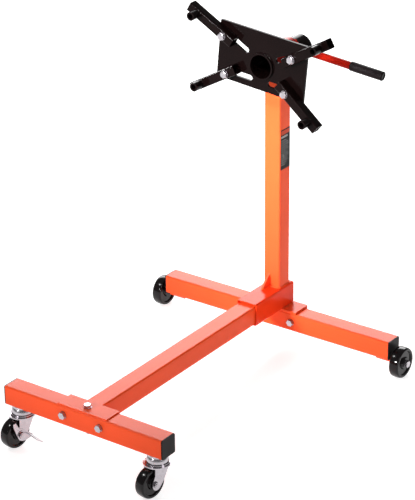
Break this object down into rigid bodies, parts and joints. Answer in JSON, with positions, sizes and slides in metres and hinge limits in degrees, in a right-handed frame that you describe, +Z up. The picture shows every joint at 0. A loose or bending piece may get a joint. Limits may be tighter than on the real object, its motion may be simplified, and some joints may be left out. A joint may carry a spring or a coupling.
{
  "type": "engine stand",
  "caption": "Rolling engine stand with a rotating head plate on a mast, swinging slotted mounting arms, a turning handle, front swivel casters and a rear crossbar on wheels.",
  "frame": {"origin": "on the floor, at the middle of the rectangle that the stand covers", "axes": "+Z up, X along both crossbars with the handle on the +X side, -Y the way the leg and the head plate face"},
  "size_m": [0.7858, 0.9538, 0.9101],
  "materials": {
    "orange_paint": "glossy orange powder coat",
    "red_paint": "glossy red powder coat",
    "black_paint": "satin black powder coat",
    "zinc": "bright zinc plate",
    "bearing_steel": "polished",
    "wheel_plastic": "glossy black moulding",
    "cap_plastic": "black moulding",
    "grip_rubber": "ribbed dark grey",
    "label_film": null
  },
  "bodies": {
    "base": {"rear_crossbar": "orange_paint", "front_crossbar": "orange_paint", "end_caps": "cap_plastic", "leg": "orange_paint", "front_bracket": "orange_paint", "leg_socket": "orange_paint", "rear_bracket": "orange_paint", "leg_lock_screw": "zinc", "leg_lock_nut": "orange_paint", "mast": "orange_paint", "mast_gusset": "orange_paint", "mast_label": "label_film", "head_housing": "red_paint", "lock_boss": "red_paint", "frame_bolts": "zinc", "frame_washers": "zinc", "frame_nuts": "zinc", "axle_bosses": "orange_paint", "axle_bolts": "zinc", "wheel_bushes": "zinc", "caster_flanges": "zinc", "caster_kingpins": "zinc", "caster_balls": "bearing_steel", "kingpin_nuts": "zinc"},
    "head": {"head_plate": "black_paint", "pivot_tube": "black_paint"},
    "handle": {"handle_bar": "red_paint", "handle_grip": "grip_rubber"},
    "lock": {"lock_pin": "zinc"},
    "rear_wheel_left": {"rear_wheel_left": "wheel_plastic"},
    "rear_wheel_right": {"rear_wheel_right": "wheel_plastic"},
    "brake": {"brake_pedal": "zinc"},
    "fork_left": {"caster_fork_left": "zinc", "caster_axle_left": "zinc", "caster_nut_left": "zinc", "caster_bush_left": "zinc"},
    "caster_wheel_left": {"caster_wheel_left": "wheel_plastic"},
    "fork_right": {"caster_fork_right": "zinc", "caster_axle_right": "zinc", "caster_nut_right": "zinc", "caster_bush_right": "zinc"},
    "caster_wheel_right": {"caster_wheel_right": "wheel_plastic"},
    "clamp_upper_left": {"arm_bolt_upper_left": "zinc", "arm_nut_upper_left": "zinc"},
    "arm_upper_left": {"arm_upper_left": "black_paint", "arm_sleeve_upper_left": "black_paint"},
    "clamp_upper_right": {"arm_bolt_upper_right": "zinc", "arm_nut_upper_right": "zinc"},
    "arm_upper_right": {"arm_upper_right": "black_paint", "arm_sleeve_upper_right": "black_paint"},
    "clamp_lower_left": {"arm_bolt_lower_left": "zinc", "arm_nut_lower_left": "zinc"},
    "arm_lower_left": {"arm_lower_left": "black_paint", "arm_sleeve_lower_left": "black_paint"},
    "clamp_lower_right": {"arm_bolt_lower_right": "zinc", "arm_nut_lower_right": "zinc"},
    "arm_lower_right": {"arm_lower_right": "black_paint", "arm_sleeve_lower_right": "black_paint"}
  },
  "joints": [
    {"name": "head_turn", "type": "hinge", "parent": "base", "child": "head", "pos_m": [0, 0.37155, 0.7765], "axis": [0, 1, 0], "continuous": true},
    {"name": "handle_slide", "type": "slide", "parent": "head", "child": "handle", "axis": [0.9954, 0, -0.0958], "range_m": [-0.11, 0.012]},
    {"name": "lock_pin_slide", "type": "slide", "parent": "base", "child": "lock", "axis": [1, 0, 0], "range_m": [0, 0.009]},
    {"name": "rear_wheel_left_spin", "type": "hinge", "parent": "base", "child": "rear_wheel_left", "pos_m": [-0.37, 0.38075, 0.04], "axis": [1, 0, 0], "continuous": true},
    {"name": "rear_wheel_right_spin", "type": "hinge", "parent": "base", "child": "rear_wheel_right", "pos_m": [0.37, 0.38075, 0.04], "axis": [1, 0, 0], "continuous": true},
    {"name": "caster_left_swivel", "type": "hinge", "parent": "base", "child": "fork_left", "pos_m": [-0.2, -0.41225, 0.08], "axis": [0, 0, 1], "continuous": true},
    {"name": "caster_left_spin", "type": "hinge", "parent": "fork_left", "child": "caster_wheel_left", "pos_m": [-0.20329, -0.43905, 0.038], "axis": [0.9925, -0.1219, 0], "continuous": true},
    {"name": "brake_turn", "type": "hinge", "parent": "fork_left", "child": "brake", "pos_m": [-0.20329, -0.43905, 0.038], "axis": [0.9925, -0.1219, 0], "range_deg": [-10, 0]},
    {"name": "caster_right_swivel", "type": "hinge", "parent": "base", "child": "fork_right", "pos_m": [0.2, -0.41225, 0.08], "axis": [0, 0, 1], "continuous": true},
    {"name": "caster_right_spin", "type": "hinge", "parent": "fork_right", "child": "caster_wheel_right", "pos_m": [0.19671, -0.43905, 0.038], "axis": [0.9925, -0.1219, 0], "continuous": true},
    {"name": "clamp_upper_left_slide", "type": "slide", "parent": "head", "child": "clamp_upper_left", "axis": [-0.8616, 0, 0.5075], "range_m": [-0.0483, 0.0067]},
    {"name": "arm_upper_left_swing", "type": "hinge", "parent": "clamp_upper_left", "child": "arm_upper_left", "pos_m": [-0.09954, 0.28905, 0.84209], "axis": [0, -1, 0], "range_deg": [-40, 40]},
    {"name": "clamp_upper_right_slide", "type": "slide", "parent": "head", "child": "clamp_upper_right", "axis": [0.9426, 0, 0.3338], "range_m": [-0.0427, 0.0123]},
    {"name": "arm_upper_right_swing", "type": "hinge", "parent": "clamp_upper_right", "child": "arm_upper_right", "pos_m": [0.10196, 0.28905, 0.82031], "axis": [0, -1, 0], "range_deg": [-40, 40]},
    {"name": "clamp_lower_left_slide", "type": "slide", "parent": "head", "child": "clamp_lower_left", "axis": [-0.9954, 0, 0.0958], "range_m": [-0.033, 0.006]},
    {"name": "arm_lower_left_swing", "type": "hinge", "parent": "clamp_lower_left", "child": "arm_lower_left", "pos_m": [-0.09238, 0.28905, 0.74571], "axis": [0, -1, 0], "range_deg": [-40, 40]},
    {"name": "clamp_lower_right_slide", "type": "slide", "parent": "head", "child": "clamp_lower_right", "axis": [0.9954, 0, -0.0958], "range_m": [-0.034, 0.005]},
    {"name": "arm_lower_right_swing", "type": "hinge", "parent": "clamp_lower_right", "child": "arm_lower_right", "pos_m": [0.08281, 0.28905, 0.72884], "axis": [0, -1, 0], "range_deg": [-40, 40]}
  ]
}
